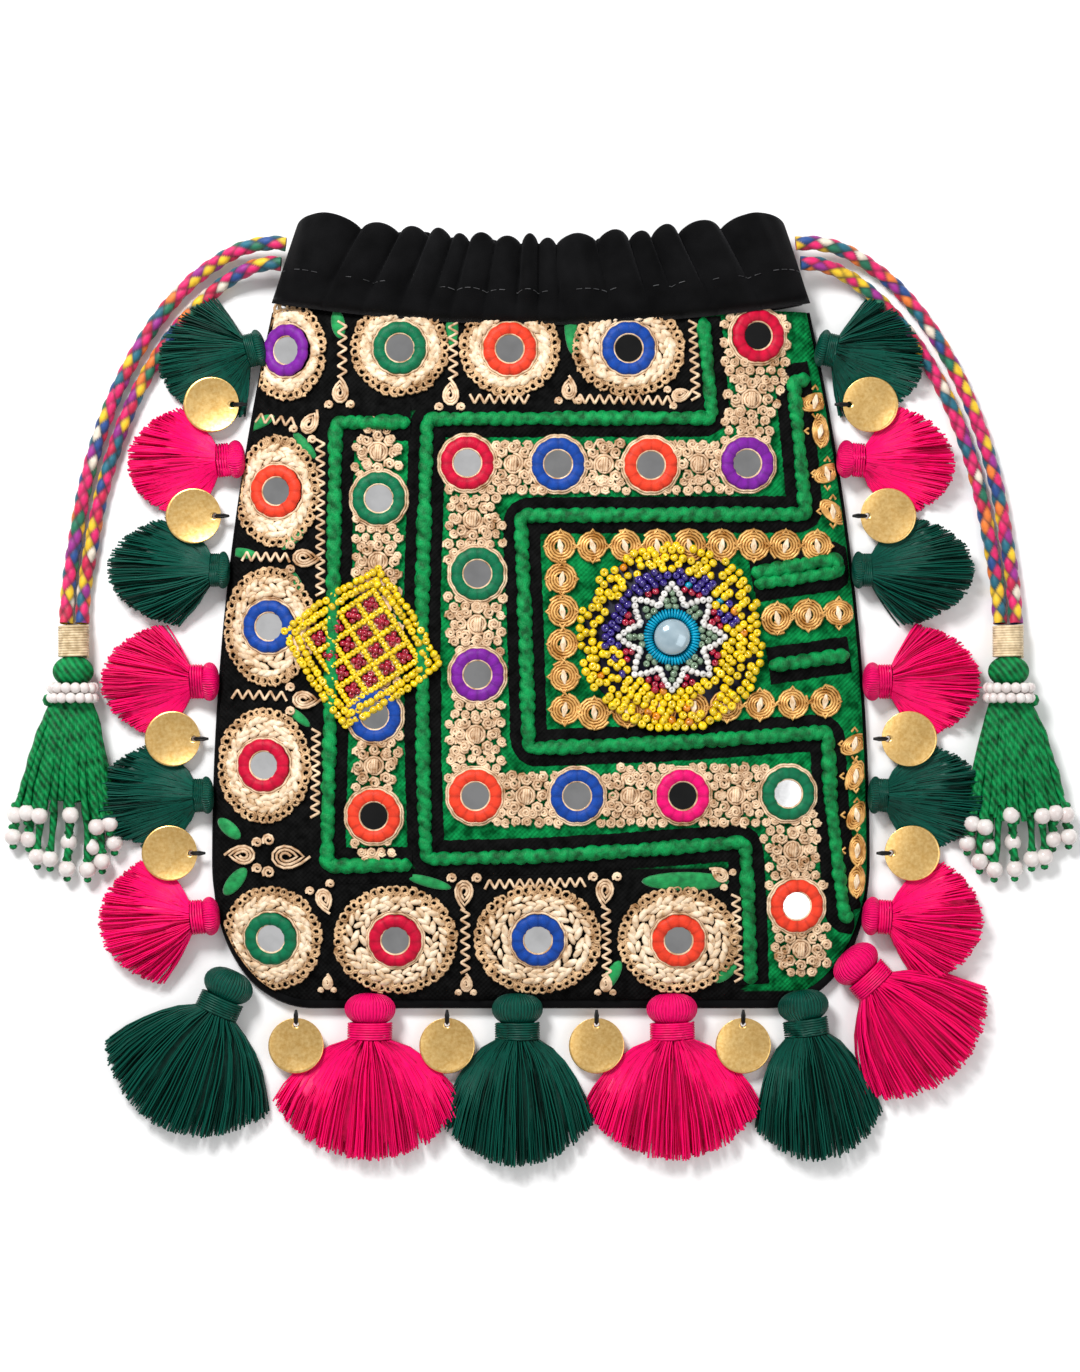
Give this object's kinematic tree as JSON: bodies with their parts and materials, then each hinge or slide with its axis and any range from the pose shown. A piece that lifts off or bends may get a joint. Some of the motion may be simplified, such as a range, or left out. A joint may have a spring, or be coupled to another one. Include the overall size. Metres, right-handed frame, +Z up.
{
  "type": "potli bag",
  "caption": "Drawstring pouch with an embroidered mirror-work front, gathered velvet mouth, braided drawcords, and tassels and brass discs round its edge.",
  "frame": {"origin": "on the surface that the bag lies on, under the middle of the bag and its sewn-on trim", "axes": "+Y towards the mouth, +Z up out of the embroidered front, +X to the right seen from above"},
  "size_m": [0.3544, 0.323, 0.0234],
  "materials": {
    "black_velvet": "matt velvet pile",
    "embroidered_cloth": "couched braid on cloth",
    "glass_beads": "glossy seed beads",
    "cabochon": "pearly gloss",
    "dark_green_thread": "silky thread",
    "pink_thread": "silky thread",
    "brass_disc": "brushed",
    "braided_cord": "many-coloured flat braid",
    "cream_wrap": "metallic cream thread wrap",
    "leaf_green_thread": "cotton thread",
    "pearls": "pearl",
    "mirror_glass": "polished"
  },
  "bodies": {
    "pouch": {"back_panel": "black_velvet", "casing_front": "black_velvet", "casing_back": "black_velvet", "edge_binding": "black_velvet", "front_panel": "embroidered_cloth", "lozenge_motif": "glass_beads", "round_motif": "glass_beads", "centre_cabochon": "cabochon", "tassel_left_1": "dark_green_thread", "tassel_left_3": "dark_green_thread", "tassel_left_5": "dark_green_thread", "tassel_right_1": "dark_green_thread", "tassel_right_3": "dark_green_thread", "tassel_right_5": "dark_green_thread", "tassel_lower_1": "dark_green_thread", "tassel_lower_3": "dark_green_thread", "tassel_lower_5": "dark_green_thread", "tassel_left_2": "pink_thread", "tassel_left_4": "pink_thread", "tassel_left_6": "pink_thread", "tassel_right_2": "pink_thread", "tassel_right_4": "pink_thread", "tassel_right_6": "pink_thread", "tassel_lower_2": "pink_thread", "tassel_lower_4": "pink_thread", "tassel_lower_6": "pink_thread", "cord_left_outer": "braided_cord", "cord_left_inner": "braided_cord", "cord_right_outer": "braided_cord", "cord_right_inner": "braided_cord", "cord_wrap_left": "cream_wrap", "cord_tassel_left": "leaf_green_thread", "pearl_ring_left": "pearls", "cord_wrap_right": "cream_wrap", "cord_tassel_right": "leaf_green_thread", "pearl_ring_right": "pearls"},
    "disc_left_1": {"disc_left_1": "brass_disc"},
    "disc_left_2": {"disc_left_2": "brass_disc"},
    "disc_left_3": {"disc_left_3": "brass_disc"},
    "disc_left_4": {"disc_left_4": "brass_disc"},
    "disc_right_1": {"disc_right_1": "brass_disc"},
    "disc_right_2": {"disc_right_2": "brass_disc"},
    "disc_right_3": {"disc_right_3": "brass_disc"},
    "disc_right_4": {"disc_right_4": "brass_disc"},
    "disc_lower_1": {"disc_lower_1": "brass_disc"},
    "disc_lower_2": {"disc_lower_2": "brass_disc"},
    "disc_lower_3": {"disc_lower_3": "brass_disc"},
    "disc_lower_4": {"disc_lower_4": "brass_disc"}
  },
  "joints": [
    {"name": "disc_left_1_swing", "type": "hinge", "parent": "pouch", "child": "disc_left_1", "pos_m": [-0.10205, 0.0965, 0.003], "axis": [0, 1, 0], "range_deg": [0, 80]},
    {"name": "disc_right_1_swing", "type": "hinge", "parent": "pouch", "child": "disc_right_1", "pos_m": [0.10205, 0.0965, 0.003], "axis": [0, -1, 0], "range_deg": [0, 80]},
    {"name": "disc_left_2_swing", "type": "hinge", "parent": "pouch", "child": "disc_left_2", "pos_m": [-0.10813, 0.0585, 0.003], "axis": [0, 1, 0], "range_deg": [0, 80]},
    {"name": "disc_right_2_swing", "type": "hinge", "parent": "pouch", "child": "disc_right_2", "pos_m": [0.10813, 0.0585, 0.003], "axis": [0, -1, 0], "range_deg": [0, 80]},
    {"name": "disc_left_3_swing", "type": "hinge", "parent": "pouch", "child": "disc_left_3", "pos_m": [-0.11525, -0.0175, 0.003], "axis": [0, 1, 0], "range_deg": [0, 80]},
    {"name": "disc_right_3_swing", "type": "hinge", "parent": "pouch", "child": "disc_right_3", "pos_m": [0.11525, -0.0175, 0.003], "axis": [0, -1, 0], "range_deg": [0, 80]},
    {"name": "disc_left_4_swing", "type": "hinge", "parent": "pouch", "child": "disc_left_4", "pos_m": [-0.11629, -0.0565, 0.003], "axis": [0, 1, 0], "range_deg": [0, 80]},
    {"name": "disc_right_4_swing", "type": "hinge", "parent": "pouch", "child": "disc_right_4", "pos_m": [0.11629, -0.0565, 0.003], "axis": [0, -1, 0], "range_deg": [0, 80]},
    {"name": "disc_lower_1_swing", "type": "hinge", "parent": "pouch", "child": "disc_lower_1", "pos_m": [-0.0835, -0.1118, 0.003], "axis": [-1, 0, 0], "range_deg": [0, 80]},
    {"name": "disc_lower_2_swing", "type": "hinge", "parent": "pouch", "child": "disc_lower_2", "pos_m": [-0.032, -0.1118, 0.003], "axis": [-1, 0, 0], "range_deg": [0, 80]},
    {"name": "disc_lower_3_swing", "type": "hinge", "parent": "pouch", "child": "disc_lower_3", "pos_m": [0.019, -0.1118, 0.003], "axis": [-1, 0, 0], "range_deg": [0, 80]},
    {"name": "disc_lower_4_swing", "type": "hinge", "parent": "pouch", "child": "disc_lower_4", "pos_m": [0.069, -0.1118, 0.003], "axis": [-1, 0, 0], "range_deg": [0, 80]}
  ]
}
